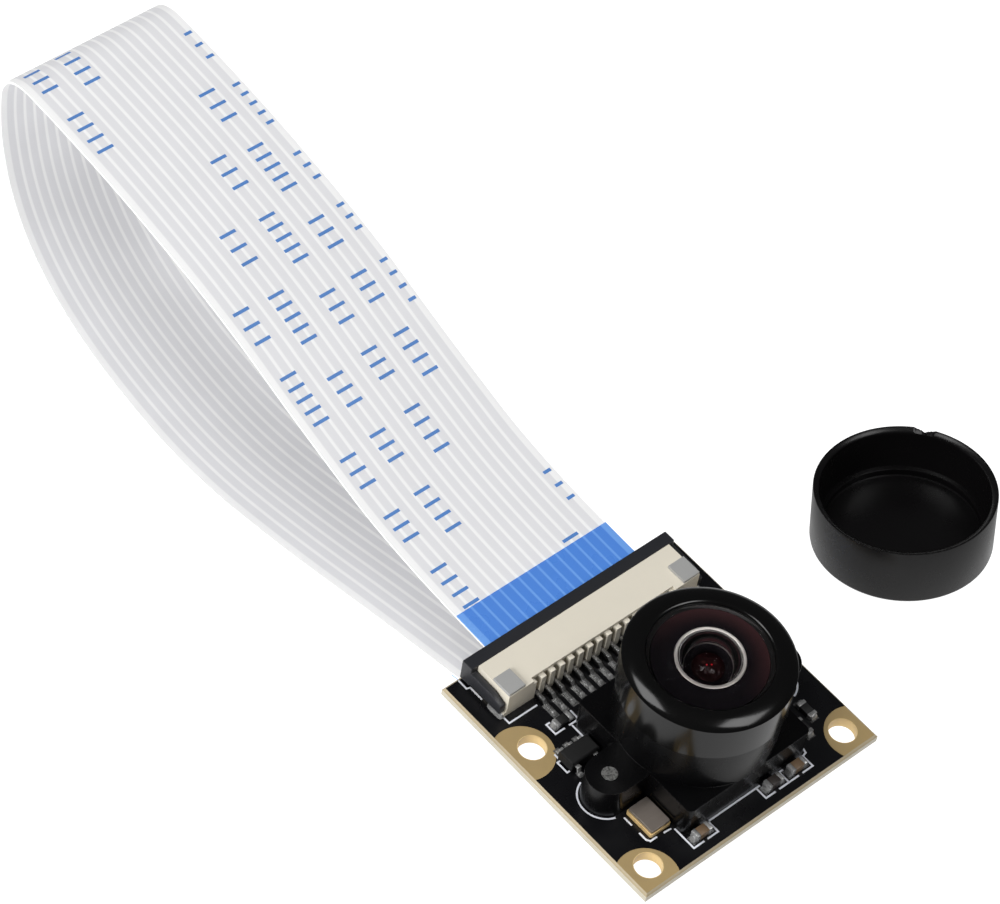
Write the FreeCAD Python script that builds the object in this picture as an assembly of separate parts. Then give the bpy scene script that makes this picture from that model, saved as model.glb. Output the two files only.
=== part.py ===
import FreeCAD, Part
import math
import os

# A camera module: a small circuit board that carries a wide-angle lens in a screw-mount holder,
# a flat-cable connector with its cable, a few small components, and the lens cap that lies beside it.
# Millimetres. The origin is on the optical axis, in the centre of the four mounting holes, on the
# board's back face. +Z runs out of the lens, +Y towards the connector.

tiny = 1e-6
cut_overshoot = 1.0           # how far a cutting shape goes past a thin sheet

# board
board_width = 25.0
board_length = 24.0
board_thickness = 1.0
edge_bevel = 0.2
hole_side_margin = 2.0        # from a hole's centre to the side edge
hole_spacing_y = 13.5
hole_diameter = 2.3
front_margin = 2.0            # from the front row of holes to the front edge
mask_thickness = 0.03
bare_patch_radius = 2.6       # bare laminate round each hole
corner_patch_shift = 0.75     # patch centre, outwards from a corner hole
side_patch_shift = 0.95       # patch centre, outwards from a rear hole
silk_thickness = 0.02
silk_width = 0.15
silk_ear_gap = 0.18           # from an ear to the middle of the arc round it
silk_arc_span = 145
pad_thickness = 0.04

# lens holder
base_size = 13.0
base_height = 3.1
base_wall = 0.9
base_corner_radius = 0.5
tower_radius = 6.65
tower_height = 7.2            # above the board, to the tower's top
tower_wall = 0.65
thread_clearance = 0.05
ear_offset = 9.0
ear_radius = 1.95
screw_hole_radius = 0.65
filter_ledge = 0.4
filter_window = 7.6
filter_seat = 0.5             # from the window's edge to the filter's edge
filter_thickness = 0.3

# screws, driven from the back
screw_head_radius = 1.6
screw_head_height = 1.1
screw_head_rounding = 0.55
screw_clearance_radius = 0.85
drive_width = 0.35
drive_length = 1.8
drive_depth = 0.5

# lens
head_overhang = 0.22          # past the tower's side
head_gap = 0.1                # between the head and the tower's top
head_height = 3.45            # the upright side of the head
head_rim_rise = 0.45          # the top slopes up by this to the glass
head_edge_chamfer = 0.12
rim_width = 0.3
rim_chamfer = 0.12
glass_radius = 5.0
glass_fit = 0.04
glass_edge = 0.95
glass_recess = 0.1            # from the rim down to the glass's edge
glass_dome_radius = 9.2
glass_back_radius = 2.25
glass_back_sphere_extra = 0.28   # the hollow's sphere is this much larger than its mouth
barrel_bore_radius = 4.4
barrel_floor = 0.7
barrel_mouth_radius = 2.9
barrel_tail = 2.9             # threaded length below the head
cell_fit = 0.03
ring_width = 0.34
ring_height = 0.3
cell_height = 2.2
cell_lip = 0.35
second_lens_radius = 1.75
second_lens_room = 0.9        # height of the cell's bore for it
second_lens_edge = 0.54
second_lens_dome = 4.0
stop_thickness = 0.2
stop_hole_radius = 0.9
rear_lens_edge = 0.9
rear_lens_dome = 9.0
spacer_wall = 0.5

# sensor
sensor_size = 8.4
sensor_height = 0.9
sensor_wall = 0.8
sensor_floor = 0.3
die_gap = 0.6                 # round the die, inside the package's wall
die_height = 0.25
cover_glass_thickness = 0.4

# connector
contact_count = 15
contact_pitch = 1.0
housing_end_width = 1.9       # on each side of the slot
housing_depth = 3.7
housing_height = 2.5
housing_from_edge = 1.3       # from the board's rear edge to the housing's back
wing_width = 0.3
wing_height = 0.5
slot_side_gap = 0.3           # beside the cable
slot_under_cable = 0.3        # below the cable's middle
slot_depth = 3.0
rib_gap = 0.5
rib_depth = 0.55
front_step_height = 0.35
front_step_depth = 0.4
front_step_margin = 0.6       # past the outer contacts
groove_clearance = 0.02
groove_floor_gap = 0.05
groove_length = 1.8           # from the cable's end
slider_depth = 1.1
slider_bottom = 0.35
slider_gap = 0.05
slider_arm_width = 0.6
slider_arm_gap = 0.075        # between an arm and the housing's side
slider_arm_height = 1.35
slider_arm_length = 3.6
slider_arm_taper = 0.45
slider_arm_slope = 1.2
tongue_inset = 0.1            # from the cable's edge
tongue_length = 2.2
tongue_thickness = 0.28
tongue_clearance = 0.1
tab_width = 1.7
tab_depth = 1.95
tab_thickness = 0.2
tab_setback = 0.05
tab_side_gap = 0.02
tab_leg_inset = 0.4
tab_leg_narrowing = 0.25
tab_foot_thickness = 0.15
tab_foot_overhang = 0.08      # past the housing's wing
tab_pad_inset = 1.25
tab_pad_overhang = 0.1
tab_pad_start = 0.3
tab_pad_length = 1.9
contact_width = 0.3
contact_thickness = 0.2
contact_reach = 2.0           # from the housing's front to the end of each foot
contact_rise = 0.35
contact_slant = 0.1           # the upper side of each bend lies this much further out
contact_bend_inset = 0.55     # from the cable's end to where a contact turns up
contact_slope_length = 0.9
contact_tip_length = 0.3
foot_length = 0.9
foot_bend_length = 0.35
foot_pad_width = 0.6
foot_pad_front = 0.55
foot_pad_rear = 0.1

# cable
cable_side_margin = 1.0       # from the outer contact to the cable's edge
cable_thickness = 0.2
cable_centre_height = 1.4     # above the board's front face, at the connector
cable_insert = 2.4            # inside the connector, behind the housing's back face
stiffener_thickness = 0.12
stiffener_length = 7.5
strip_width = 0.6
strip_thickness = 0.03
strip_length = 4.0
arc_share = 0.45

# route of the cable behind its straight start, as (y, z) of its middle plane
cable_bend_start = 25.2
cable_route = (
    (39.2, 6.3),
    (49.5, 9.9),
    (62.0, 12.3),
    (71.2, 13.3),
    (79.0, 13.7),
    (79.4, 6.5),
    (77.0, -1.6),
    (71.6, -7.4),
    (63.5, -10.9),
    (52.0, -12.4),
    (40.2, -10.2),
    (25.0, -5.9),
    (11.2, -2.6),
)

# small components, placed from the lens holder
crystal_side_gap = 0.15       # from the holder's base
crystal_ear_gap = 0.25
crystal_size = (2.1, 2.9)
crystal_base_height = 0.45
crystal_lid_inset = 0.08
crystal_lid_height = 0.3
crystal_corner_radius = 0.15
chip_length = 1.6
chip_width = 0.8
terminal_length = 0.35
terminal_skin = 0.02
terminal_rounding = 0.05
capacitor_height = 0.8
resistor_height = 0.45
capacitor_row = (-5.35, 2.35, 4.9)
capacitor_row_gap = 0.25      # from the holder's base
corner_resistor = (0.5, 0.7)  # from the corner of the holder's base
side_resistors = ((2.9, -3.65), (1.5, -4.7))   # from the side of the base, and along it
regulator_side_gap = 0.25
regulator_ear_gap = 0.6
regulator_size = (2.9, 1.6, 1.1)
regulator_standoff = 0.1
regulator_chamfer = 0.12
lead_pitch = 0.95
lead_width = 0.4
lead_reach = 0.6
lead_thickness = 0.15
lead_shoulder = 0.2
lead_slope_end = 0.3
lead_slope_shift = 0.12
lead_pad_start = 0.2
lead_pad_width = 0.54
chip_pad_overhang = 0.3

# printed lines, as (x, y) of their middle
silk_paths = (
    ((-6.62, -5.6), (-6.62, -7.75), (-5.6, -7.75)),
    ((-5.1, -7.75), (-4.05, -7.75), (-4.05, -6.6)),
    ((-4.6, -6.6), (1.45, -6.6)),
    ((1.1, -6.7), (1.1, -7.75), (2.05, -7.75)),
    ((2.6, -7.75), (4.6, -7.75)),
    ((3.0, -6.6), (3.95, -6.6)),
    ((3.6, -6.7), (3.6, -7.65)),
    ((5.15, -7.75), (6.2, -7.75), (6.2, -6.6), (5.7, -6.6)),
    ((6.36, -6.58), (6.6, -6.5), (6.72, -6.1)),
    ((-7.3, 6.6), (-8.2, 6.6), (-8.2, 7.7), (-7.9, 7.7)),
    ((-6.7, 6.6), (-5.85, 6.6), (-5.75, 6.85), (-5.75, 7.55)),
    ((-6.58, 6.4), (-6.58, 5.12), (-6.85, 5.12)),
    ((-9.55, 5.15), (-9.55, 4.8)),
    ((-9.55, 4.5), (-9.87, 4.5), (-9.87, 3.35), (-9.55, 3.35)),
    ((-9.1, -2.5), (-9.1, -3.25)),
    ((-9.1, -4.25), (-9.1, -4.95), (-8.9, -5.25), (-8.3, -5.25)),
    ((-7.5, -5.3), (-6.9, -5.35)),
)
# the same, drawn on both sides
silk_side_paths = (
    ((11.0, 14.95), (11.0, 14.05), (10.7, 13.95), (10.7, 12.6)),
    ((10.45, 10.15), (10.45, 9.55), (7.6, 9.55)),
)

# lens cap, open side up, beside the board
cap_board_gap = 9.15
cap_shift = 5.05              # towards the connector
cap_lean = 10.0               # of its axis towards the connector, as the table and the board aren't parallel
cap_drop = 0.7                # its middle lies this far below the board's back face
cap_fit = 0.13                # round the lens's head
cap_wall = 0.6
cap_height = 5.5
cap_floor = 0.8
cap_foot_chamfer = 0.2
cap_rim_chamfer = 0.5
cap_rim_width = 0.05
cap_ledge_width = 0.45
cap_ledge_height = 0.7
cap_notch_radius = 0.6
cap_notch_rise = 0.21         # from the rim up to the notch's centre
cap_notch_angle = 32

# sizes that follow from these
hole_spacing_x = board_width - 2 * hole_side_margin
base_half = base_size / 2
thread_radius = tower_radius - tower_wall
head_radius = tower_radius + head_overhang
filter_size = filter_window + 2 * filter_seat
glass_back_dome = glass_back_radius + glass_back_sphere_extra
die_size = sensor_size - 2 * (sensor_wall + die_gap)
cable_width = (contact_count - 1) * contact_pitch + 2 * cable_side_margin
slot_width = cable_width + 2 * slot_side_gap
housing_width = slot_width + 2 * housing_end_width
slider_width = housing_width + 2 * (slider_arm_gap + slider_arm_width)
cap_inner_radius = head_radius + cap_fit
cap_outer_radius = cap_inner_radius + cap_wall

# heights and places that follow from these
top = board_thickness + mask_thickness
front_edge = -hole_spacing_y / 2 - front_margin
rear_edge = front_edge + board_length
base_top = top + base_height
tower_top = top + tower_height
head_bottom = tower_top + head_gap
head_top = head_bottom + head_height
glass_seat = head_top + head_rim_rise - glass_edge - glass_recess
housing_back = rear_edge - housing_from_edge
housing_front = housing_back - housing_depth
cable_z = board_thickness + cable_centre_height
cable_start = housing_back - cable_insert
slot_low = cable_z - slot_under_cable
tongue_low = cable_z + cable_thickness / 2 + stiffener_thickness + slider_gap
slot_high = tongue_low + tongue_thickness + tongue_clearance
hole_places = [(sx * hole_spacing_x / 2, sy * hole_spacing_y / 2) for sx in (-1, 1) for sy in (-1, 1)]
crystal_centre = (-base_half - crystal_side_gap - crystal_size[0] / 2,
                  -ear_radius - crystal_ear_gap - crystal_size[1] / 2)
regulator_centre = (-base_half - regulator_side_gap - regulator_size[0] / 2,
                    ear_radius + regulator_ear_gap + lead_reach + regulator_size[1] / 2)
capacitor_centres = [(x, -base_half - capacitor_row_gap - chip_width / 2) for x in capacitor_row]
resistor_centres = [(-base_half - corner_resistor[0], base_half + corner_resistor[1], 0)]
resistor_centres += [(base_half + gap, y, 90) for gap, y in side_resistors]
cap_centre = (board_width / 2 + cap_board_gap + cap_outer_radius, cap_shift)


def box(x0, x1, y0, y1, z0, z1):
    return Part.makeBox(x1 - x0, y1 - y0, z1 - z0, FreeCAD.Vector(x0, y0, z0))


def cylinder(x, y, z0, z1, radius):
    return Part.makeCylinder(radius, z1 - z0, FreeCAD.Vector(x, y, z0))


# a closed outline of (radius, z) points, turned about an upright axis
def turned(profile):
    points = [FreeCAD.Vector(r, 0, z) for r, z in profile]
    face = Part.Face(Part.makePolygon(points + points[:1]))
    return face.revolve(FreeCAD.Vector(0, 0, 0), FreeCAD.Vector(0, 0, 1), 360)


# a closed outline of (y, z) points, extruded from x0 to x1
def prism_along_x(outline, x0, x1):
    points = [FreeCAD.Vector(x0, y, z) for y, z in outline]
    face = Part.Face(Part.makePolygon(points + points[:1]))
    return face.extrude(FreeCAD.Vector(x1 - x0, 0, 0))


def fused(shapes):
    return shapes[0].multiFuse(shapes[1:]).removeSplitter() if len(shapes) > 1 else shapes[0]


def upright_edges(shape):
    return [edge for edge in shape.Edges if edge.BoundBox.ZLength > tiny
            and edge.BoundBox.XLength < tiny and edge.BoundBox.YLength < tiny]


def save(name, shape):
    if isinstance(shape, list):
        shape = Part.makeCompound(shape)
    shape.exportStep("parts/" + name + ".step")


def board_outline(inset, z0, z1):
    half = board_width / 2 - inset
    return box(-half, half, front_edge + inset, rear_edge - inset, z0, z1)


def circuit_board():
    board = board_outline(0, 0, board_thickness)
    rims = [edge for edge in board.Edges if edge.BoundBox.ZLength < tiny]
    board = board.makeChamfer(edge_bevel, rims)
    low, high = -cut_overshoot, board_thickness + cut_overshoot
    for x, y in hole_places:
        board = board.cut(cylinder(x, y, low, high, hole_diameter / 2))
    for side in (-1, 1):
        board = board.cut(cylinder(side * ear_offset, 0, low, high, screw_clearance_radius))
    return board


def patch_centre(x, y):
    outward = math.copysign(1, x)
    if y < 0:
        return x + outward * corner_patch_shift, y - corner_patch_shift
    return x + outward * side_patch_shift, y


def solder_mask(z0, z1, openings):
    mask = board_outline(edge_bevel, z0, z1)
    low, high = z0 - cut_overshoot, z1 + cut_overshoot
    for x, y in hole_places:
        px, py = patch_centre(x, y)
        mask = mask.cut(cylinder(px, py, low, high, bare_patch_radius))
    for side in (-1, 1):
        mask = mask.cut(cylinder(side * ear_offset, 0, low, high, screw_clearance_radius))
    return mask.cut(Part.makeCompound(openings)) if openings else mask


def contact_places():
    first = -(contact_count - 1) * contact_pitch / 2
    return [first + contact_pitch * i for i in range(contact_count)]


def chip_pads(x, y, angle):
    reach = chip_length / 2 + chip_pad_overhang
    inner = chip_length / 2 - terminal_length
    pads = []
    for side in (-1, 1):
        ends = sorted((side * inner, side * reach))
        pad = box(ends[0], ends[1], -chip_width / 2, chip_width / 2, board_thickness,
                  board_thickness + pad_thickness)
        pad.rotate(FreeCAD.Vector(0, 0, 0), FreeCAD.Vector(0, 0, 1), angle)
        pad.translate(FreeCAD.Vector(x, y, 0))
        pads.append(pad)
    return pads


def solder_pads():
    low, high = board_thickness, board_thickness + pad_thickness
    foot_end = housing_front - contact_reach
    half = foot_pad_width / 2
    y0, y1 = foot_end - foot_pad_front, foot_end + foot_length + foot_pad_rear
    pads = [box(x - half, x + half, y0, y1, low, high) for x in contact_places()]
    start = housing_front + tab_pad_start
    inner, outer = housing_width / 2 - tab_pad_inset, housing_width / 2 + tab_pad_overhang
    for side in (-1, 1):
        ends = sorted((side * inner, side * outer))
        pads.append(box(ends[0], ends[1], start, start + tab_pad_length, low, high))
    for x, y in capacitor_centres:
        pads += chip_pads(x, y, 0)
    for x, y, angle in resistor_centres:
        pads += chip_pads(x, y, angle)
    half = lead_pad_width / 2
    for x, y, side in lead_places():
        ends = sorted((y + side * lead_pad_start, y + side * (lead_pad_start + lead_reach)))
        pads.append(box(x - half, x + half, ends[0], ends[1], low, high))
    return pads


# one printed line through (x, y) points, with square ends and full corners
def silk_line(points):
    half = silk_width / 2
    bars = []
    for (x0, y0), (x1, y1) in zip(points, points[1:]):
        length = math.hypot(x1 - x0, y1 - y0)
        angle = math.degrees(math.atan2(y1 - y0, x1 - x0))
        bar = box(-half, length + half, -half, half, top, top + silk_thickness)
        bar.rotate(FreeCAD.Vector(0, 0, 0), FreeCAD.Vector(0, 0, 1), angle)
        bar.translate(FreeCAD.Vector(x0, y0, 0))
        bars.append(bar)
    return fused(bars)


# a printed arc round an ear, on the side that faces the board's edge
def silk_arc(side):
    radius = ear_radius + silk_ear_gap
    high = top + silk_thickness
    ring = cylinder(0, 0, top, high, radius + silk_width / 2)
    ring = ring.cut(cylinder(0, 0, top, high, radius - silk_width / 2))
    up = FreeCAD.Vector(0, 0, 1)
    wedge = Part.makeCylinder(2 * radius, silk_thickness, FreeCAD.Vector(0, 0, top), up, silk_arc_span)
    middle = 0 if side > 0 else 180
    wedge.rotate(FreeCAD.Vector(0, 0, 0), up, middle - silk_arc_span / 2)
    arc = ring.common(wedge)
    arc.translate(FreeCAD.Vector(side * ear_offset, 0, 0))
    return arc


def silkscreen():
    lines = [silk_line(path) for path in silk_paths]
    for path in silk_side_paths:
        lines += [silk_line([(side * x, y) for x, y in path]) for side in (-1, 1)]
    return lines + [silk_arc(side) for side in (-1, 1)]


def lens_holder():
    base = box(-base_half, base_half, -base_half, base_half, top, base_top)
    solid = base.makeFillet(base_corner_radius, upright_edges(base))
    for side in (-1, 1):
        reach = sorted((side * (base_half - base_wall), side * ear_offset))
        arm = box(reach[0], reach[1], -ear_radius, ear_radius, top, base_top)
        solid = solid.fuse([arm, cylinder(side * ear_offset, 0, top, base_top, ear_radius)])
    solid = solid.fuse(cylinder(0, 0, base_top, tower_top, tower_radius)).removeSplitter()
    inner = base_half - base_wall
    window = filter_window / 2
    solid = solid.cut(box(-inner, inner, -inner, inner, top, base_top - filter_ledge))
    solid = solid.cut(box(-window, window, -window, window, top, base_top))
    solid = solid.cut(cylinder(0, 0, base_top, tower_top, thread_radius))
    for side in (-1, 1):
        solid = solid.cut(cylinder(side * ear_offset, 0, top, base_top, screw_hole_radius))
    return solid


def holder_screw(x):
    under_head = -mask_thickness
    head = cylinder(x, 0, under_head - screw_head_height, under_head, screw_head_radius)
    lower_rim = [edge for edge in head.Edges if edge.BoundBox.ZMax < under_head - screw_head_height + tiny]
    head = head.makeFillet(screw_head_rounding, lower_rim)
    shank = cylinder(x, 0, under_head, base_top, screw_hole_radius)
    solid = head.fuse(shank).removeSplitter()
    low, high = under_head - screw_head_height, under_head - screw_head_height + drive_depth
    for along, across in ((drive_length, drive_width), (drive_width, drive_length)):
        solid = solid.cut(box(x - along / 2, x + along / 2, -across / 2, across / 2, low, high))
    return solid


def ir_filter():
    half = filter_size / 2
    high = base_top - filter_ledge
    return box(-half, half, -half, half, high - filter_thickness, high)


def lens_barrel():
    bottom = head_bottom - barrel_tail
    rim = head_top + head_rim_rise
    bore = glass_radius + glass_fit
    return turned([
        (barrel_mouth_radius, bottom),
        (thread_radius - thread_clearance, bottom),
        (thread_radius - thread_clearance, head_bottom),
        (head_radius, head_bottom),
        (head_radius, head_top - head_edge_chamfer),
        (head_radius - head_edge_chamfer, head_top),
        (bore + rim_width, rim),
        (bore, rim - rim_chamfer),
        (bore, glass_seat),
        (barrel_bore_radius, glass_seat),
        (barrel_bore_radius, bottom + barrel_floor),
        (barrel_mouth_radius, bottom + barrel_floor),
    ])


def sag(radius, reach):
    return radius - math.sqrt(radius * radius - reach * reach)


# turn a closed wire of edges in the plane y = 0 about the z axis
def turned_edges(edges):
    face = Part.Face(Part.Wire(edges))
    return face.revolve(FreeCAD.Vector(0, 0, 0), FreeCAD.Vector(0, 0, 1), 360)


def segment(r0, z0, r1, z1):
    return Part.LineSegment(FreeCAD.Vector(r0, 0, z0), FreeCAD.Vector(r1, 0, z1)).toShape()


# the half of a dome or hollow that starts at (reach, z_edge) and ends on the axis
def dome_edge(radius, reach, z_edge):
    rise = sag(radius, reach)
    middle = reach / 2
    z_middle = z_edge + rise - sag(radius, middle)
    points = (reach, z_edge), (middle, z_middle), (0, z_edge + rise)
    return Part.Arc(*[FreeCAD.Vector(r, 0, z) for r, z in points]).toShape()


def front_lens():
    edge_top = glass_seat + glass_edge
    apex = edge_top + sag(glass_dome_radius, glass_radius)
    hollow_top = glass_seat + sag(glass_back_dome, glass_back_radius)
    return turned_edges([
        segment(glass_back_radius, glass_seat, glass_radius, glass_seat),
        segment(glass_radius, glass_seat, glass_radius, edge_top),
        dome_edge(glass_dome_radius, glass_radius, edge_top),
        segment(0, apex, 0, hollow_top),
        dome_edge(glass_back_dome, glass_back_radius, glass_seat),
    ])


def domed_lens(radius, dome_reach, dome_radius, bottom, edge):
    edges = [
        segment(0, bottom, radius, bottom),
        segment(radius, bottom, radius, bottom + edge),
        dome_edge(dome_radius, dome_reach, bottom + edge),
        segment(0, bottom + edge + sag(dome_radius, dome_reach), 0, bottom),
    ]
    if radius > dome_reach:
        edges.insert(2, segment(radius, bottom + edge, dome_reach, bottom + edge))
    return turned_edges(edges)


def lens_stack():
    cell_radius = barrel_bore_radius - cell_fit
    cell_bottom = glass_seat - cell_height
    ring_outer = glass_back_radius + ring_width
    lens_seat = cell_bottom + stop_thickness
    lens_bore = second_lens_radius + cell_fit
    cell = turned([
        (lens_bore - cell_lip, cell_bottom),
        (cell_radius, cell_bottom),
        (cell_radius, glass_seat),
        (ring_outer, glass_seat),
        (ring_outer, glass_seat - ring_height),
        (glass_back_radius, glass_seat - ring_height),
        (lens_bore, lens_seat + second_lens_room),
        (lens_bore, lens_seat),
        (lens_bore - cell_lip, lens_seat),
    ])
    ring = turned([
        (glass_back_radius, glass_seat - ring_height),
        (ring_outer, glass_seat - ring_height),
        (ring_outer, glass_seat),
        (glass_back_radius, glass_seat),
    ])
    stop_bottom = cell_bottom - stop_thickness
    stop = turned([
        (stop_hole_radius, stop_bottom),
        (cell_radius, stop_bottom),
        (cell_radius, cell_bottom),
        (stop_hole_radius, cell_bottom),
    ])
    rear_bottom = head_bottom - barrel_tail + barrel_floor
    spacer_inner = cell_radius - spacer_wall
    spacer = turned([
        (spacer_inner, rear_bottom + rear_lens_edge),
        (cell_radius, rear_bottom + rear_lens_edge),
        (cell_radius, stop_bottom),
        (spacer_inner, stop_bottom),
    ])
    return {
        "element_cell": cell,
        "element_ring": ring,
        "second_lens": domed_lens(second_lens_radius, second_lens_radius, second_lens_dome, lens_seat,
                                  second_lens_edge),
        "aperture_stop": stop,
        "spacer_tube": spacer,
        "rear_lens": domed_lens(cell_radius, spacer_inner, rear_lens_dome, rear_bottom, rear_lens_edge),
    }


def sensor_parts():
    half = sensor_size / 2
    inner = half - sensor_wall
    die = die_size / 2
    package = box(-half, half, -half, half, top, top + sensor_height)
    package = package.cut(box(-inner, inner, -inner, inner, top + sensor_floor, top + sensor_height))
    low = top + sensor_floor
    lid = top + sensor_height
    return {
        "sensor_package": package,
        "sensor_die": box(-die, die, -die, die, low, low + die_height),
        "sensor_cover_glass": box(-half, half, -half, half, lid, lid + cover_glass_thickness),
    }


# a hold-down: a plate in the housing's top, a leg through the housing and a foot on the board
def connector_tab(side):
    outer = housing_width / 2
    y0 = housing_front + tab_setback
    high = top + housing_height
    foot = board_thickness + pad_thickness
    leg = outer - tab_leg_inset - tab_thickness
    foot_end = outer + wing_width + tab_foot_overhang
    parts = []
    for x0, x1, y_in, z0, z1 in (
            (outer - tab_width, outer - tab_side_gap, 0, high - tab_thickness, high),
            (leg, leg + tab_thickness, tab_leg_narrowing, foot, high - tab_thickness),
            (leg, foot_end, tab_leg_narrowing, foot, foot + tab_foot_thickness)):
        ends = sorted((side * x0, side * x1))
        parts.append(box(ends[0], ends[1], y0 + y_in, y0 + tab_depth - y_in, z0, z1))
    return fused(parts)


# the middle line of one contact, from its soldered foot to its tip under the cable
def contact_outline():
    foot_end = housing_front - contact_reach
    low = board_thickness + pad_thickness
    run = top + contact_rise
    foot_bend = foot_end + foot_length
    rise_end = foot_bend + foot_bend_length
    bend = cable_start + contact_bend_inset
    slope_end = bend + contact_slope_length
    tip = slope_end + contact_tip_length
    touch = cable_z - cable_thickness / 2 - strip_thickness
    t = contact_thickness
    lower = [(foot_end, low), (foot_bend, low), (rise_end, run), (bend, run), (slope_end, touch - t),
             (tip, touch - t)]
    upper = [(tip, touch), (slope_end - contact_slant, touch), (bend - contact_slant, run + t),
             (rise_end - contact_slant, run + t), (foot_bend - contact_slant, low + t), (foot_end, low + t)]
    return lower + upper


def connector_contacts():
    half = contact_width / 2
    return [prism_along_x(contact_outline(), x - half, x + half) for x in contact_places()]


def connector_housing(neighbours):
    half = housing_width / 2
    high = top + housing_height
    solid = box(-half, half, housing_front, housing_back, top, high)
    wings = box(-half - wing_width, half + wing_width, housing_front, housing_back, top, top + wing_height)
    solid = solid.fuse(wings).removeSplitter()
    slot = box(-slot_width / 2, slot_width / 2, housing_back - slot_depth, housing_back, slot_low, slot_high)
    solid = solid.cut(slot)
    first, last = contact_places()[0] - front_step_margin, contact_places()[-1] + front_step_margin
    step_high = high - front_step_height
    step_back = housing_front + front_step_depth
    solid = solid.cut(box(first, last, housing_front, step_back, step_high, high))
    groove = contact_width / 2 + groove_clearance
    groove_floor = top + contact_rise - groove_floor_gap
    cuts = []
    for x in contact_places():
        cuts.append(box(x - rib_gap / 2, x + rib_gap / 2, housing_front, housing_front + rib_depth,
                        top, step_high))
        cuts.append(box(x - groove, x + groove, housing_front, cable_start + groove_length, groove_floor,
                        slot_low))
    solid = solid.cut(Part.makeCompound(cuts))
    for neighbour in neighbours:
        solid = solid.cut(neighbour)
    return solid


def connector_slider():
    half = slider_width / 2
    high = top + housing_height
    front = housing_back + slider_gap
    bar = box(-half, half, front, front + slider_depth, top + slider_bottom, high)
    window = box(-slot_width / 2, slot_width / 2, front, front + slider_depth, slot_low, tongue_low)
    tongue_half = cable_width / 2 - tongue_inset
    tongue = box(-tongue_half, tongue_half, front - tongue_length, front + slider_depth / 2,
                 tongue_low, tongue_low + tongue_thickness)
    solid = bar.cut(window).fuse(tongue)
    arm_low = top + wing_height + slider_gap
    arm_high = arm_low + slider_arm_height
    tip = front - slider_arm_length
    outline = [(front, arm_low), (front, arm_high), (tip + slider_arm_slope, arm_high),
               (tip, arm_high - slider_arm_taper), (tip, arm_low)]
    for side in (-1, 1):
        ends = sorted((side * half, side * (half - slider_arm_width)))
        solid = solid.fuse(prism_along_x(outline, ends[0], ends[1]))
    return solid.removeSplitter()


def unit(a, b):
    length = math.hypot(b[0] - a[0], b[1] - a[1])
    return (b[0] - a[0]) / length, (b[1] - a[1]) / length, length


# straight runs joined by tangent arcs through the corners of a route in the plane x = 0
def route_pieces(points):
    pieces = []
    here = points[0]
    for before, corner, after in zip(points, points[1:], points[2:]):
        in_y, in_z, in_length = unit(before, corner)
        out_y, out_z, out_length = unit(corner, after)
        turn = math.atan2(in_y * out_z - in_z * out_y, in_y * out_y + in_z * out_z)
        reach = arc_share * min(in_length, out_length)
        radius = reach / math.tan(abs(turn) / 2)
        start = (corner[0] - in_y * reach, corner[1] - in_z * reach)
        end = (corner[0] + out_y * reach, corner[1] + out_z * reach)
        side = math.copysign(1, turn)
        centre = (start[0] - in_z * radius * side, start[1] + in_y * radius * side)
        pieces.append(("line", here, start))
        pieces.append(("arc", start, end, centre, radius, side))
        here = end
    pieces.append(("line", here, points[-1]))
    return pieces


# the edges that run beside the route at a signed distance, left of its direction being positive
def beside(pieces, distance):
    edges = []
    for piece in pieces:
        if piece[0] == "line":
            _, a, b = piece
            uy, uz, length = unit(a, b)
            if length < tiny:
                continue
            ends = [(p[0] - uz * distance, p[1] + uy * distance) for p in (a, b)]
            edges.append(Part.LineSegment(*[FreeCAD.Vector(0, y, z) for y, z in ends]).toShape())
        else:
            _, a, b, centre, radius, side = piece
            scale = (radius - side * distance) / radius
            middle = ((a[0] + b[0]) / 2, (a[1] + b[1]) / 2)
            uy, uz, _ = unit(centre, middle)
            middle = (centre[0] + uy * radius, centre[1] + uz * radius)
            places = [(centre[0] + (p[0] - centre[0]) * scale, centre[1] + (p[1] - centre[1]) * scale)
                      for p in (a, middle, b)]
            edges.append(Part.Arc(*[FreeCAD.Vector(0, y, z) for y, z in places]).toShape())
    return edges


# a flat band along the route, between two signed distances from it
def band(pieces, width, low, high):
    lower = beside(pieces, low)
    upper = beside(pieces, high)
    caps = [
        Part.LineSegment(lower[0].Vertexes[0].Point, upper[0].Vertexes[0].Point).toShape(),
        Part.LineSegment(lower[-1].Vertexes[-1].Point, upper[-1].Vertexes[-1].Point).toShape(),
    ]
    wire = Part.Wire(Part.__sortEdges__(lower + upper + caps))
    solid = Part.Face(wire).extrude(FreeCAD.Vector(width, 0, 0))
    solid.translate(FreeCAD.Vector(-width / 2, 0, 0))
    return solid


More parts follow.
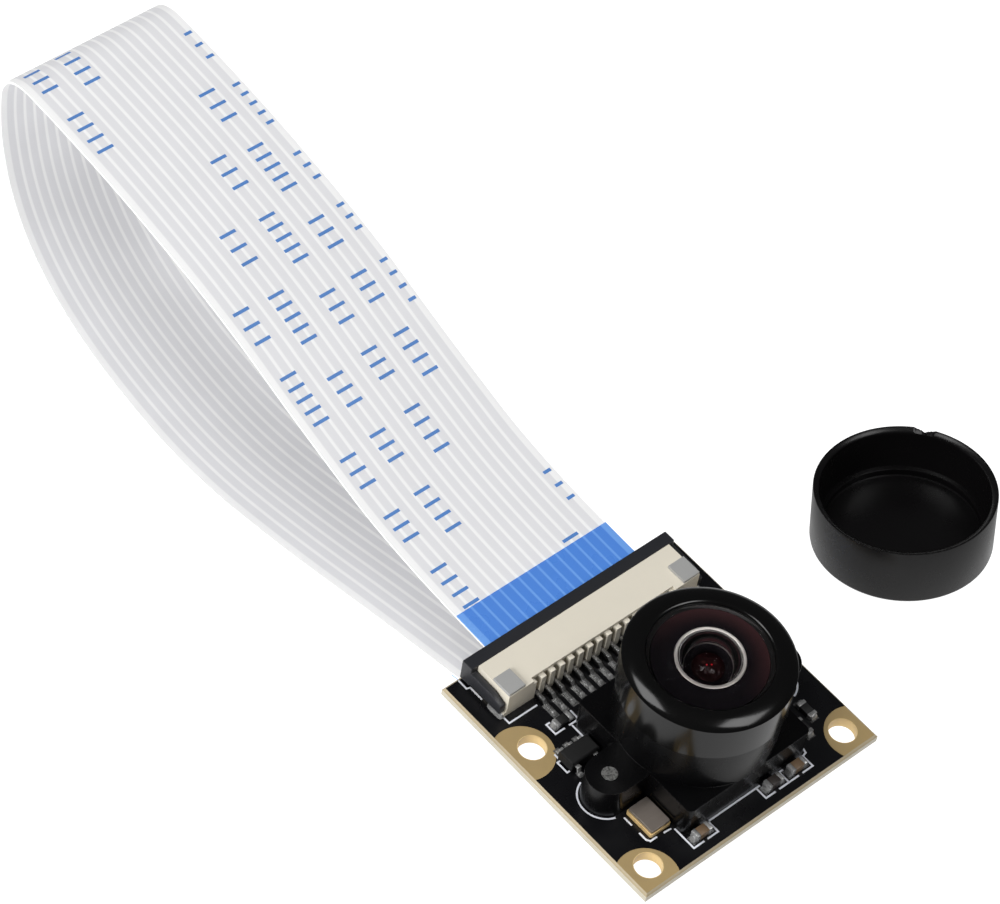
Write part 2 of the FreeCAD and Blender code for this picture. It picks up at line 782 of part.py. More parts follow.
def cable_parts():
    points = [(cable_start, cable_z), (cable_bend_start, cable_z)] + list(cable_route)
    pieces = route_pieces(points)
    half = cable_thickness / 2
    near = [("line", points[0], (cable_start + stiffener_length, cable_z))]
    uy, uz, _ = unit(points[-1], points[-2])
    end = points[-1]
    far = [("line", (end[0] + uy * stiffener_length, end[1] + uz * stiffener_length), end)]
    near_bare = [("line", points[0], (cable_start + strip_length, cable_z))]
    far_bare = [("line", (end[0] + uy * strip_length, end[1] + uz * strip_length), end)]
    length = 0
    for piece in pieces:
        if piece[0] == "line":
            length += unit(piece[1], piece[2])[2]
        else:
            chord = unit(piece[1], piece[2])[2]
            length += 2 * piece[4] * math.asin(chord / 2 / piece[4])
            print("arc radius", round(piece[4], 1))
    cable = band(pieces, cable_width, -half, half)
    print("cable length", round(length, 2), "volume against section times length",
          round(cable.Volume / (length * cable_width * cable_thickness), 5))
    strips = {}
    for name, run in (("cable_contacts_near", near_bare), ("cable_contacts_far", far_bare)):
        whole = band(run, strip_width, -half - strip_thickness, -half)
        strips[name] = [whole.translated(FreeCAD.Vector(x, 0, 0)) for x in contact_places()]
    return {
        "ribbon_cable": cable,
        "cable_stiffener_near": band(near, cable_width, half, half + stiffener_thickness),
        "cable_stiffener_far": band(far, cable_width, half, half + stiffener_thickness),
        **strips,
    }


def crystal_parts():
    x, y = crystal_centre
    half_x, half_y = crystal_size[0] / 2, crystal_size[1] / 2
    base_high = top + crystal_base_height
    base = box(x - half_x, x + half_x, y - half_y, y + half_y, top, base_high)
    lid_x, lid_y = half_x - crystal_lid_inset, half_y - crystal_lid_inset
    lid = box(x - lid_x, x + lid_x, y - lid_y, y + lid_y, base_high, base_high + crystal_lid_height)
    return {
        "crystal_base": base.makeFillet(crystal_corner_radius, upright_edges(base)),
        "crystal_lid": lid.makeFillet(crystal_corner_radius, upright_edges(lid)),
    }


# a chip part: a plain body between two plated ends that wrap round it
def chip(x, y, angle, height):
    seat = board_thickness + pad_thickness
    inner = chip_length / 2 - terminal_length
    body = box(-inner, inner, -chip_width / 2 + terminal_skin, chip_width / 2 - terminal_skin,
               seat + terminal_skin, seat + height - terminal_skin)
    ends = []
    for side in (-1, 1):
        span = sorted((side * inner, side * chip_length / 2))
        end = box(span[0], span[1], -chip_width / 2, chip_width / 2, seat, seat + height)
        rim = [edge for edge in end.Edges if abs(abs(edge.BoundBox.Center.x) - chip_length / 2) < tiny]
        ends.append(end.makeFillet(terminal_rounding, rim))
    for shape in [body] + ends:
        shape.rotate(FreeCAD.Vector(0, 0, 0), FreeCAD.Vector(0, 0, 1), angle)
        shape.translate(FreeCAD.Vector(x, y, 0))
    return body, ends


def lead_places():
    x, y = regulator_centre
    edge = regulator_size[1] / 2
    return ([(x + lead_pitch * i, y + edge, 1) for i in (-1, 0, 1)]
            + [(x + lead_pitch * i, y - edge, -1) for i in (-1, 1)])


def regulator_parts():
    x, y = regulator_centre
    length, width, height = regulator_size
    seat = board_thickness + pad_thickness
    body = box(x - length / 2, x + length / 2, y - width / 2, y + width / 2, seat + regulator_standoff,
               seat + height)
    upper_rim = [edge for edge in body.Edges if edge.BoundBox.ZMin > seat + height - tiny]
    leads = []
    middle = seat + height / 2
    t = lead_thickness
    outline = [(0, middle), (lead_shoulder, middle), (lead_slope_end, seat), (lead_reach, seat),
               (lead_reach, seat + t), (lead_slope_end + lead_slope_shift, seat + t),
               (lead_shoulder + t, middle + t), (0, middle + t)]
    for lead_x, edge, side in lead_places():
        points = [(edge + side * y_out, z) for y_out, z in outline]
        leads.append(prism_along_x(points, lead_x - lead_width / 2, lead_x + lead_width / 2))
    return {"regulator_body": body.makeChamfer(regulator_chamfer, upper_rim), "regulator_leads": leads}


def lens_cap():
    x, y = cap_centre
    outer = cap_outer_radius
    ledge = cap_floor + cap_ledge_height
    cap = turned([
        (0, 0),
        (outer - cap_foot_chamfer, 0),
        (outer, cap_foot_chamfer),
        (outer, cap_height),
        (outer - cap_rim_width, cap_height),
        (cap_inner_radius, cap_height - cap_rim_chamfer),
        (cap_inner_radius, ledge),
        (cap_inner_radius - cap_ledge_width, ledge),
        (cap_inner_radius - cap_ledge_width, cap_floor),
        (0, cap_floor),
    ])
    start = FreeCAD.Vector(cap_inner_radius - cap_wall, 0, cap_height + cap_notch_rise)
    notch = Part.makeCylinder(cap_notch_radius, 3 * cap_wall, start, FreeCAD.Vector(1, 0, 0))
    notch.rotate(FreeCAD.Vector(0, 0, 0), FreeCAD.Vector(0, 0, 1), cap_notch_angle)
    cap = cap.cut(notch)
    cap.rotate(FreeCAD.Vector(0, 0, 0), FreeCAD.Vector(1, 0, 0), -cap_lean)
    cap.translate(FreeCAD.Vector(x, y, -cap_drop))
    return cap


def main():
    os.makedirs("parts", exist_ok=True)
    pads = solder_pads()
    tabs = {"connector_tab_left": connector_tab(-1), "connector_tab_right": connector_tab(1)}
    save("circuit_board", circuit_board())
    save("solder_mask_front", solder_mask(board_thickness, top, pads))
    save("solder_mask_back", solder_mask(-mask_thickness, 0, []))
    save("solder_pads", pads)
    save("silkscreen", silkscreen())
    save("lens_holder", lens_holder())
    save("holder_screw_left", holder_screw(-ear_offset))
    save("holder_screw_right", holder_screw(ear_offset))
    save("ir_filter", ir_filter())
    save("lens_barrel", lens_barrel())
    save("front_lens", front_lens())
    save("connector_housing", connector_housing(list(tabs.values()) + [Part.makeCompound(pads)]))
    save("connector_slider", connector_slider())
    save("connector_contacts", connector_contacts())
    save("lens_cap", lens_cap())
    for group in (tabs, lens_stack(), sensor_parts(), cable_parts(), crystal_parts(), regulator_parts()):
        for name, shape in group.items():
            save(name, shape)
    for number, (x, y) in enumerate(capacitor_centres, 1):
        body, ends = chip(x, y, 0, capacitor_height)
        save("capacitor_%d_body" % number, body)
        save("capacitor_%d_ends" % number, ends)
    for number, (x, y, angle) in enumerate(resistor_centres, 1):
        body, ends = chip(x, y, angle, resistor_height)
        save("resistor_%d_body" % number, body)
        save("resistor_%d_ends" % number, ends)


main()
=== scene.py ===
import math

import bpy
from mathutils import Matrix, Vector


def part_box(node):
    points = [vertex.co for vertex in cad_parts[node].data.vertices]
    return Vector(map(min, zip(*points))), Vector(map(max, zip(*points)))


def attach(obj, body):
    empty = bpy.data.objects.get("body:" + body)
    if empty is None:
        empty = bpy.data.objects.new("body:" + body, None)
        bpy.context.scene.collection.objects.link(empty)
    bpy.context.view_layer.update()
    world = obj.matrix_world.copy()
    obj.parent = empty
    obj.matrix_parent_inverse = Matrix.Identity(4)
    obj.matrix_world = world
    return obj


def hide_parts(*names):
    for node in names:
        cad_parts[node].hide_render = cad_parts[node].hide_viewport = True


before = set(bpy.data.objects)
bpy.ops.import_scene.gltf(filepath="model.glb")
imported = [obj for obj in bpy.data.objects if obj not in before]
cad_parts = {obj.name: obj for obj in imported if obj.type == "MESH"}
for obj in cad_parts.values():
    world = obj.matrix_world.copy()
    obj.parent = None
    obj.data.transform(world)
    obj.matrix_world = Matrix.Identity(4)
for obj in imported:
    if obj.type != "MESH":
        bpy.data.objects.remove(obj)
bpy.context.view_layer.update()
mm = 0.001


# a shader node: its settings first, then its inputs, each a plain value or another node's output
def addNode(tree, kind, inputs=None, **settings):
    node = tree.nodes.new("ShaderNode" + kind)
    for setting, value in settings.items():
        setattr(node, setting, value)
    for socket, value in (inputs or {}).items():
        if isinstance(value, bpy.types.NodeSocket):
            tree.links.new(value, node.inputs[socket])
        else:
            node.inputs[socket].default_value = value
    return node


# camera, floor and light

view = {
    "place": (-0.15190, -0.10592, 0.25511),
    "right": (0.7483554, -0.6528865, 0.1170619),
    "up": (0.4553868, 0.6340373, 0.6249957),
    "lens": 144,
    "sensor": 36,
    "near": 0.01,
    "far": 10,
    "floor": -0.0124,
    "floorSize": 3,
    "floorTone": 0.3,
    "floorRough": 0.9,
    "mirroredFloor": 0.55,      # the floor's glow as polished pieces mirror it
    "floorInGlass": 0.35,       # the share of that glow that the coated front glass mirrors
    "surroundings": (0.06, 0.06, 0.062, 1),
    "backdrop": 1.3,            # the white that only the camera sees
}


def addCamera():
    data = bpy.data.cameras.new("camera")
    data.lens = view["lens"]
    data.sensor_width = view["sensor"]
    data.clip_start = view["near"]
    data.clip_end = view["far"]
    camera = bpy.data.objects.new("camera", data)
    bpy.context.scene.collection.objects.link(camera)
    right, up = Vector(view["right"]), Vector(view["up"])
    back = right.cross(up)
    turn = Matrix((right, up, back)).transposed().to_4x4()
    camera.matrix_world = Matrix.Translation(view["place"]) @ turn
    bpy.context.scene.camera = camera


# "mirrored" says whether glossy pieces show the lamp
softBoxes = {
    "keyLeft": {"place": (-0.124, 0.192, 0.456), "aim": (0, 0, 0.01), "size": (0.20, 0.18),
                "power": 0.62, "mirrored": True},
    "keyRight": {"place": (0.136, -0.147, 0.468), "aim": (0, 0, 0.01), "size": (0.20, 0.18),
                 "power": 0.62, "mirrored": True},
    "overhead": {"place": (0.0, 0.10, 0.60), "aim": (0, 0.04, 0), "size": (0.40, 0.40),
                 "power": 0.8, "mirrored": False},
    "fill": {"place": (-0.42, 0.02, 0.20), "aim": (0, 0.05, 0), "size": (0.35, 0.20),
             "power": 1.9, "mirrored": False},
}


def addLights():
    for name, box in softBoxes.items():
        data = bpy.data.lights.new(name, "AREA")
        data.shape = "RECTANGLE"
        data.size, data.size_y = box["size"]
        data.energy = box["power"]
        lamp = bpy.data.objects.new(name, data)
        bpy.context.scene.collection.objects.link(lamp)
        lamp.location = box["place"]
        lamp.visible_glossy = box["mirrored"]
        aim = Vector(box["aim"]) - Vector(box["place"])
        lamp.rotation_euler = aim.to_track_quat("-Z", "Y").to_euler()
    world = bpy.data.worlds.new("studio")
    bpy.context.scene.world = world
    world.use_nodes = True
    tree = world.node_tree
    plain = tree.nodes["Background"]
    plain.inputs["Color"].default_value = view["surroundings"]
    seen = addNode(tree, "Background", {"Color": (1, 1, 1, 1), "Strength": view["backdrop"]})
    ray = addNode(tree, "LightPath")
    mix = addNode(tree, "MixShader", {"Fac": ray.outputs["Is Camera Ray"],
                                      1: plain.outputs["Background"],
                                      2: seen.outputs["Background"]})
    tree.links.new(mix.outputs["Shader"], tree.nodes["World Output"].inputs["Surface"])


def addFloor():
    bpy.ops.mesh.primitive_plane_add(size=view["floorSize"], location=(0, 0, view["floor"]))
    floor = bpy.context.object
    floor.name = "floor"
    material = bpy.data.materials.new("paleFloor")
    material.use_nodes = True
    tree = material.node_tree
    shader = tree.nodes["Principled BSDF"]
    tone = view["floorTone"]
    shader.inputs["Base Color"].default_value = (tone, tone, tone, 1)
    shader.inputs["Roughness"].default_value = view["floorRough"]
    shader.inputs["Emission Color"].default_value = (1, 1, 1, 1)
    ray = addNode(tree, "LightPath")
    glow = addNode(tree, "MapRange", {"Value": ray.outputs["Is Glossy Ray"], "To Min": 1.0,
                                      "To Max": view["mirroredFloor"]})
    inGlass = addNode(tree, "MapRange", {"Value": ray.outputs["Is Singular Ray"], "To Min": 1.0,
                                         "To Max": view["floorInGlass"]})
    both = addNode(tree, "Math", {0: glow.outputs["Result"], 1: inGlass.outputs["Result"]},
                   operation="MULTIPLY")
    tree.links.new(both.outputs[0], shader.inputs["Emission Strength"])
    floor.data.materials.append(material)


# shader group and materials

# the broad pattern is set in waves a metre, the bump's height in mm
grainPattern = {"fineDetail": 3, "broadScale": 350, "broadDetail": 4, "broadLow": 0.3,
                "broadHigh": 0.7, "bump": 0.02}
grainSockets = (
    ("Vector", "NodeSocketVector", None),
    ("Color", "NodeSocketColor", (0.5, 0.5, 0.5, 1)),
    ("Mottle", "NodeSocketFloat", 0.1),
    ("Grain Size", "NodeSocketFloat", 0.2),     # in mm
    ("Rough Low", "NodeSocketFloat", 0.3),
    ("Rough High", "NodeSocketFloat", 0.4),
    ("Relief", "NodeSocketFloat", 0.2),
)


def grainEffect():
    group = bpy.data.node_groups.new("surfaceGrain", "ShaderNodeTree")
    for name, kind, value in grainSockets:
        socket = group.interface.new_socket(name, in_out="INPUT", socket_type=kind)
        if value is not None:
            socket.default_value = value
    for name, kind in (("Color", "NodeSocketColor"), ("Roughness", "NodeSocketFloat"),
                       ("Normal", "NodeSocketVector")):
        group.interface.new_socket(name, in_out="OUTPUT", socket_type=kind)
    given, made = group.nodes.new("NodeGroupInput"), group.nodes.new("NodeGroupOutput")
    scale = addNode(group, "Math", {0: 1 / mm, 1: given.outputs["Grain Size"]}, operation="DIVIDE")
    fine = addNode(group, "TexNoise", {"Vector": given.outputs["Vector"],
                                       "Scale": scale.outputs[0],
                                       "Detail": grainPattern["fineDetail"]})
    broad = addNode(group, "TexNoise", {"Vector": given.outputs["Vector"],
                                        "Scale": grainPattern["broadScale"],
                                        "Detail": grainPattern["broadDetail"]})
    both = addNode(group, "Math", {0: broad.outputs["Fac"], 1: given.outputs["Mottle"]},
                   operation="MULTIPLY")
    darker = addNode(group, "Mix", {"Factor": both.outputs[0], "A": given.outputs["Color"],
                                    "B": (0, 0, 0, 1)}, data_type="RGBA")
    rough = addNode(group, "MapRange", {"Value": broad.outputs["Fac"],
                                        "From Min": grainPattern["broadLow"],
                                        "From Max": grainPattern["broadHigh"],
                                        "To Min": given.outputs["Rough Low"],
                                        "To Max": given.outputs["Rough High"]})
    bump = addNode(group, "Bump", {"Distance": grainPattern["bump"] * mm,
                                   "Strength": given.outputs["Relief"],
                                   "Height": fine.outputs["Fac"]})
    group.links.new(darker.outputs["Result"], made.inputs["Color"])
    group.links.new(rough.outputs["Result"], made.inputs["Roughness"])
    group.links.new(bump.outputs["Normal"], made.inputs["Normal"])
    return group


surfaceGrain = grainEffect()

usualLook = {"grain": 0.2, "mottle": 0.15, "relief": 0.2, "metal": 0, "shine": 0.5,
             "stretch": (1, 1, 1)}


def grained(name, givenLook):
    look = {**usualLook, **givenLook}
    material = bpy.data.materials.new(name)
    material.use_nodes = True
    tree = material.node_tree
    shader = tree.nodes["Principled BSDF"]
    where = addNode(tree, "TexCoord")
    stretch = addNode(tree, "Mapping", {"Vector": where.outputs["Object"],
                                        "Scale": look["stretch"]})
    grain = addNode(tree, "Group", {
        "Vector": stretch.outputs["Vector"], "Color": (*look["color"], 1),
        "Mottle": look["mottle"], "Grain Size": look["grain"], "Rough Low": look["rough"][0],
        "Rough High": look["rough"][1], "Relief": look["relief"],
    }, node_tree=surfaceGrain, name="grain")
    tree.links.new(grain.outputs["Color"], shader.inputs["Base Color"])
    tree.links.new(grain.outputs["Roughness"], shader.inputs["Roughness"])
    tree.links.new(grain.outputs["Normal"], shader.inputs["Normal"])
    shader.inputs["Metallic"].default_value = look["metal"]
    shader.inputs["Specular IOR Level"].default_value = look["shine"]
    return material


finishes = {
    "laminate": {"color": (0.43, 0.31, 0.14), "rough": (0.35, 0.5), "grain": 0.12, "mottle": 0.3,
                 "relief": 0.3},
    "solderMask": {"color": (0.004, 0.004, 0.005), "rough": (0.22, 0.34), "grain": 0.5,
                   "mottle": 0.3, "relief": 0.12, "shine": 0.35},
    "brightTin": {"color": (0.82, 0.82, 0.81), "rough": (0.14, 0.34), "grain": 0.6, "mottle": 1.1,
                  "metal": 0.55, "relief": 1.0, "stretch": (5, 5, 5)},
    "contactTin": {"color": (0.62, 0.62, 0.61), "rough": (0.16, 0.36), "grain": 0.6, "mottle": 1.0,
                   "metal": 0.8, "relief": 0.8, "stretch": (4, 4, 4)},
    "satinTin": {"color": (0.48, 0.48, 0.47), "rough": (0.4, 0.5), "grain": 0.1, "metal": 0.35,
                 "relief": 0.4},
    "whitePrint": {"color": (0.80, 0.82, 0.88), "rough": (0.5, 0.6), "grain": 0.06},
    "holderPlastic": {"color": (0.003, 0.003, 0.0033), "rough": (0.18, 0.32), "grain": 0.35,
                      "mottle": 0.4, "relief": 0.25, "shine": 0.2},
    "screwTip": {"color": (0.50, 0.50, 0.48), "rough": (0.25, 0.5), "grain": 2.0, "mottle": 1.3,
                 "metal": 0.5, "relief": 1.0, "stretch": (17, 17, 17)},
    "barrelPlastic": {"color": (0.003, 0.003, 0.003), "rough": (0.11, 0.17), "grain": 0.6,
                      "mottle": 0.3, "relief": 0.06, "shine": 0.38},
    "turnedRing": {"color": (0.50, 0.49, 0.46), "rough": (0.30, 0.42), "grain": 0.1, "metal": 0.9},
    "edgePaint": {"color": (0.003, 0.003, 0.003), "rough": (0.5, 0.6), "relief": 0.1,
                  "shine": 0.1},
    "innerBlack": {"color": (0.003, 0.0026, 0.0034), "rough": (0.8, 0.9), "grain": 0.15,
                   "relief": 0.3, "shine": 0.04},
    "sensorCeramic": {"color": (0.16, 0.15, 0.15), "rough": (0.5, 0.6), "grain": 0.1},
    "sensorSilicon": {"color": (0.05, 0.06, 0.08), "rough": (0.1, 0.15), "grain": 0.05,
                      "metal": 0.6},
    "creamPlastic": {"color": (0.74, 0.69, 0.58), "rough": (0.36, 0.5), "grain": 0.25,
                     "mottle": 0.08, "relief": 0.25},
    "sliderPlastic": {"color": (0.020, 0.021, 0.025), "rough": (0.30, 0.44), "mottle": 0.3,
                      "relief": 0.5},
    "contactGold": {"color": (0.80, 0.58, 0.25), "rough": (0.2, 0.3), "metal": 1},
    "crystalGold": {"color": (0.82, 0.57, 0.25), "rough": (0.25, 0.36), "metal": 0.25,
                    "mottle": 0.2},
    "crystalLid": {"color": (0.36, 0.31, 0.27), "rough": (0.30, 0.42), "grain": 0.1, "metal": 0.6,
                   "mottle": 0.45, "stretch": (1, 3, 1)},
    "chipBlack": {"color": (0.010, 0.010, 0.010), "rough": (0.5, 0.65), "grain": 0.08,
                  "relief": 0.8},
    "capacitorBrown": {"color": (0.20, 0.13, 0.075), "rough": (0.3, 0.42), "grain": 0.1,
                       "mottle": 0.3},
    "capacitorDark": {"color": (0.045, 0.036, 0.032), "rough": (0.3, 0.42), "grain": 0.1,
                      "mottle": 0.3},
    "capPlastic": {"color": (0.0035, 0.0032, 0.0034), "rough": (0.24, 0.34), "grain": 0.12,
                   "mottle": 0.2, "shine": 0.36},
    "coatedGlass": {"color": (0.006, 0.0018, 0.002), "rough": (0.05, 0.08), "grain": 0.5,
                    "relief": 0.0, "shine": 0.12},
    "blueInk": {"color": (0.09, 0.25, 0.62), "rough": (0.4, 0.5), "grain": 0.1, "mottle": 0.2,
                "relief": 0.1},
}
looks = {name: grained(name, look) for name, look in finishes.items()}


# cable film: a stripe over each flat conductor, and plain film outside the last one
def stripedFilm(name, look):
    material = grained(name, look)
    tree = material.node_tree

    def step(operation, *values):
        return addNode(tree, "Math", dict(enumerate(values)), operation=operation).outputs[0]

    where = addNode(tree, "TexCoord")
    parts = addNode(tree, "SeparateXYZ", {"Vector": where.outputs["Object"]})
    across = step("MULTIPLY", parts.outputs["X"], 1 / look["pitch"] / mm)
    inCell = step("FRACT", step("ADD", across, look["cells"] + 0.5))
    fromMiddle = step("ABSOLUTE", step("SUBTRACT", inCell, 0.5))
    edge = addNode(tree, "MapRange", {"Value": fromMiddle, "From Min": look["half"] - look["blur"],
                                      "From Max": look["half"] + look["blur"]})
    margin = step("GREATER_THAN", step("ABSOLUTE", across), look["last"])
    between = step("MAXIMUM", edge.outputs["Result"], margin)
    mix = addNode(tree, "Mix", {"Factor": between, "A": (*look["color"], 1),
                                "B": (*look["between"], 1)}, data_type="RGBA")
    tree.links.new(mix.outputs["Result"], tree.nodes["grain"].inputs["Color"])
    return material


# pitch in mm; the rest of the stripes in shares of the pitch; "cells" keeps the count positive
filmStripes = {"pitch": 1.0, "blur": 0.05, "last": 7.5, "cells": 100, "grain": 0.4, "mottle": 0.06,
               "relief": 0.05}
filmLooks = {
    "cableFilm": {"color": (0.78, 0.78, 0.80), "between": (0.94, 0.94, 0.94),
                  "rough": (0.28, 0.38), "half": 0.36},
    "blueFilm": {"color": (0.08, 0.245, 0.72), "between": (0.16, 0.37, 0.84),
                 "rough": (0.25, 0.35), "half": 0.40},
}
for filmName, filmLook in filmLooks.items():
    looks[filmName] = stripedFilm(filmName, {**filmStripes, **filmLook})


# how far a point lies from a centre, in x and y alone; the centre is in mm
def sidewaysFrom(tree, point, centre):
    off = addNode(tree, "VectorMath", {0: point, 1: (centre[0] * mm, centre[1] * mm, 0)},
                  operation="SUBTRACT")
    flat = addNode(tree, "VectorMath", {0: off.outputs["Vector"], 1: (1, 1, 0)},
                   operation="MULTIPLY")
    length = addNode(tree, "VectorMath", {0: flat.outputs["Vector"]}, operation="LENGTH")
    return length.outputs["Value"]


boardEdge = {
    "dark": (0.52, 0.47, 0.36, 1), "light": (0.64, 0.60, 0.49, 1),
    "layers": 1500, "waver": 1.2, "waverScale": 900,
    "flatFace": 0.9, "uprightFace": 0.5,        # how far a face's normal points up or down
    "plating": (0.80, 0.59, 0.27, 1), "hole": (10.5, 6.75), "platingReach": 1.2,
}


# thin light and dark layers on the board's cut edge, and gold on the walls of its four holes
def layeredEdge():
    v = boardEdge
    tree = looks["laminate"].node_tree
    where = addNode(tree, "TexCoord")
    layers = addNode(tree, "TexWave", {
        "Vector": where.outputs["Object"], "Scale": v["layers"], "Distortion": v["waver"],
        "Detail Scale": v["waverScale"]}, bands_direction="Z")
    side = addNode(tree, "NewGeometry")
    parts = addNode(tree, "SeparateXYZ", {"Vector": side.outputs["Normal"]})
    upright = addNode(tree, "Math", {0: parts.outputs["Z"]}, operation="ABSOLUTE")
    edge = addNode(tree, "MapRange", {"Value": upright.outputs[0], "From Min": v["flatFace"],
                                      "From Max": v["uprightFace"]})
    tone = addNode(tree, "Mix", {"Factor": layers.outputs["Color"], "A": v["dark"],
                                 "B": v["light"]}, data_type="RGBA")
    mix = addNode(tree, "Mix", {"Factor": edge.outputs["Result"],
                                "A": (*finishes["laminate"]["color"], 1),
                                "B": tone.outputs["Result"]}, data_type="RGBA")
    quarter = addNode(tree, "VectorMath", {0: where.outputs["Object"]}, operation="ABSOLUTE")
    away = sidewaysFrom(tree, quarter.outputs["Vector"], v["hole"])
    wall = addNode(tree, "Math", {0: away, 1: v["platingReach"] * mm}, operation="LESS_THAN")
    plated = addNode(tree, "Mix", {"Factor": wall.outputs[0], "A": mix.outputs["Result"],
                                   "B": v["plating"]}, data_type="RGBA")
    tree.links.new(plated.outputs["Result"], tree.nodes["grain"].inputs["Color"])


layeredEdge()


# lengths in mm from the lens's axis; the colour is a painted reflection near the cell's rim
cellPaintedReflection = {"color": (0.026, 0.010, 0.011, 1), "from": 2.5, "to": 4.5, "side": (0.94, 0.34, 0),
            "sideFrom": -2.0, "sideTo": 4.4}


# the cell under the front glass: near black, with a painted reflection (the coating's warm sheen)
# near its rim on one side
def paintedRimReflection():
    v = cellPaintedReflection
    tree = looks["innerBlack"].node_tree
    where = addNode(tree, "TexCoord")
    radius = sidewaysFrom(tree, where.outputs["Object"], (0, 0))
    band = addNode(tree, "MapRange", {"Value": radius, "From Min": v["from"] * mm,
                                      "From Max": v["to"] * mm}, interpolation_type="SMOOTHSTEP")
    side = addNode(tree, "VectorMath", {0: where.outputs["Object"], 1: v["side"]},
                   operation="DOT_PRODUCT")
    facing = addNode(tree, "MapRange", {"Value": side.outputs["Value"],
                                        "From Min": v["sideFrom"] * mm,
                                        "From Max": v["sideTo"] * mm},
                     interpolation_type="SMOOTHSTEP")
    both = addNode(tree, "Math", {0: band.outputs["Result"], 1: facing.outputs["Result"]},
                   operation="MULTIPLY")
    # mixes the painted reflection's warm colour into the near black
    mix = addNode(tree, "Mix", {"Factor": both.outputs[0],
                                "A": (*finishes["innerBlack"]["color"], 1),
                                "B": v["color"]}, data_type="RGBA")
    tree.links.new(mix.outputs["Result"], tree.nodes["grain"].inputs["Color"])


paintedRimReflection()


# place and radius in mm, and the glow of each painted glint
glints = (
    ((-0.21, 0.07), 0.09, (0.50, 0.008, 0.015)),
    ((0.19, -0.21), 0.09, (0.55, 0.008, 0.015)),
    ((-0.25, 0.52), 0.26, (0.014, 0.005, 0.004)),
    ((0.60, -0.26), 0.26, (0.012, 0.005, 0.004)),
    ((0.0, 0.0), 0.6, (0.004, 0.0006, 0.0006)),
)
glintCore = 0.5     # the share of the radius over which a glint is full


# painted glints: two small red glints and three dim warm patches of painted reflection, made to
# glow in the middle of the second lens
def paintedLensGlints():
    tree = looks["coatedGlass"].node_tree
    where = addNode(tree, "TexCoord")
    total = (0, 0, 0)
    for centre, size, glow in glints:
        far = sidewaysFrom(tree, where.outputs["Object"], centre)
        near = addNode(tree, "MapRange", {"Value": far, "From Min": size * mm,
                                          "From Max": size * glintCore * mm},
                       interpolation_type="SMOOTHSTEP")
        tint = addNode(tree, "Mix", {"Factor": near.outputs["Result"], "A": (0, 0, 0, 1),
                                     "B": (*glow, 1)}, data_type="RGBA")
        add = addNode(tree, "VectorMath", {0: total, 1: tint.outputs["Result"]}, operation="ADD")
        total = add.outputs["Vector"]
    shader = tree.nodes["Principled BSDF"]
    # the painted glints and painted reflections reach the shader as emission
    tree.links.new(total, shader.inputs["Emission Color"])
    shader.inputs["Emission Strength"].default_value = 1


paintedLensGlints()


# polished glass that lets lamps shine straight through; the coating tints its reflections
def glassLook(name, look):
    material = bpy.data.materials.new(name)
    material.use_nodes = True
    tree = material.node_tree
    shader = tree.nodes["Principled BSDF"]
    shader.inputs["Base Color"].default_value = (*look["color"], 1)
    shader.inputs["Roughness"].default_value = 0
    shader.inputs["IOR"].default_value = look["ior"]
    shader.inputs["Transmission Weight"].default_value = 1
    shader.inputs["Specular Tint"].default_value = (*look["coating"], 1)
    clear = addNode(tree, "BsdfTransparent", {"Color": (*look["color"], 1)})
    ray = addNode(tree, "LightPath")
    mix = addNode(tree, "MixShader", {"Fac": ray.outputs["Is Shadow Ray"],
                                      1: shader.outputs["BSDF"], 2: clear.outputs["BSDF"]})
    tree.links.new(mix.outputs["Shader"], tree.nodes["Material Output"].inputs["Surface"])
    return material


glassLooks = {
    "lensGlass": {"color": (0.93, 0.90, 0.90), "ior": 1.5, "coating": (0.0, 0.0, 0.0)},
    "filterGlass": {"color": (0.80, 0.93, 0.95), "ior": 1.5, "coating": (1.0, 0.5, 0.5)},
}
for glassName, glassValues in glassLooks.items():
    looks[glassName] = glassLook(glassName, glassValues)
print("materials made:", len(looks))


# tools for the pieces

weld = 0.0005 * mm      # points this close become one
smoothAngle = math.radians(40)


def only(piece):
    bpy.ops.object.select_all(action="DESELECT")
    piece.select_set(True)
    bpy.context.view_layer.objects.active = piece


def dress(piece, look):
    piece.data.materials.clear()
    piece.data.materials.append(looks[look])


def place(piece, name, body, slot, look, *nodes):
    piece.name = name
    piece.data.name = name
    dress(piece, look)
    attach(piece, body)
    if nodes:
        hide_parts(*nodes)
    return piece


# leaves the piece in edit mode, with the vertices selected that the rule accepts
def pick(piece, rule):
    bpy.ops.object.mode_set(mode="EDIT")
    bpy.ops.mesh.select_mode(type="VERT")
    bpy.ops.mesh.select_all(action="DESELECT")
    bpy.ops.object.mode_set(mode="OBJECT")
    for vertex in piece.data.vertices:
        vertex.select = rule(vertex)
    bpy.ops.object.mode_set(mode="EDIT")


def joined(pieces):
    bpy.ops.object.select_all(action="DESELECT")
    for piece in pieces:
        piece.select_set(True)
    bpy.context.view_layer.objects.active = pieces[0]
    bpy.ops.object.join()
    return bpy.context.object


# width in mm, angle in degrees
def bevelled(piece, width, segments, angle=35):
    only(piece)
    bevel = piece.modifiers.new("bevel", "BEVEL")
    bevel.width = width * mm
    bevel.segments = segments
    bevel.limit_method = "ANGLE"
    bevel.angle_limit = math.radians(angle)
    bpy.ops.object.modifier_apply(modifier=bevel.name)
    bpy.ops.object.shade_smooth_by_angle(angle=smoothAngle)
    even = piece.modifiers.new("even", "WEIGHTED_NORMAL")
    even.keep_sharp = True
    even.weight = 80
    bpy.ops.object.modifier_apply(modifier=even.name)


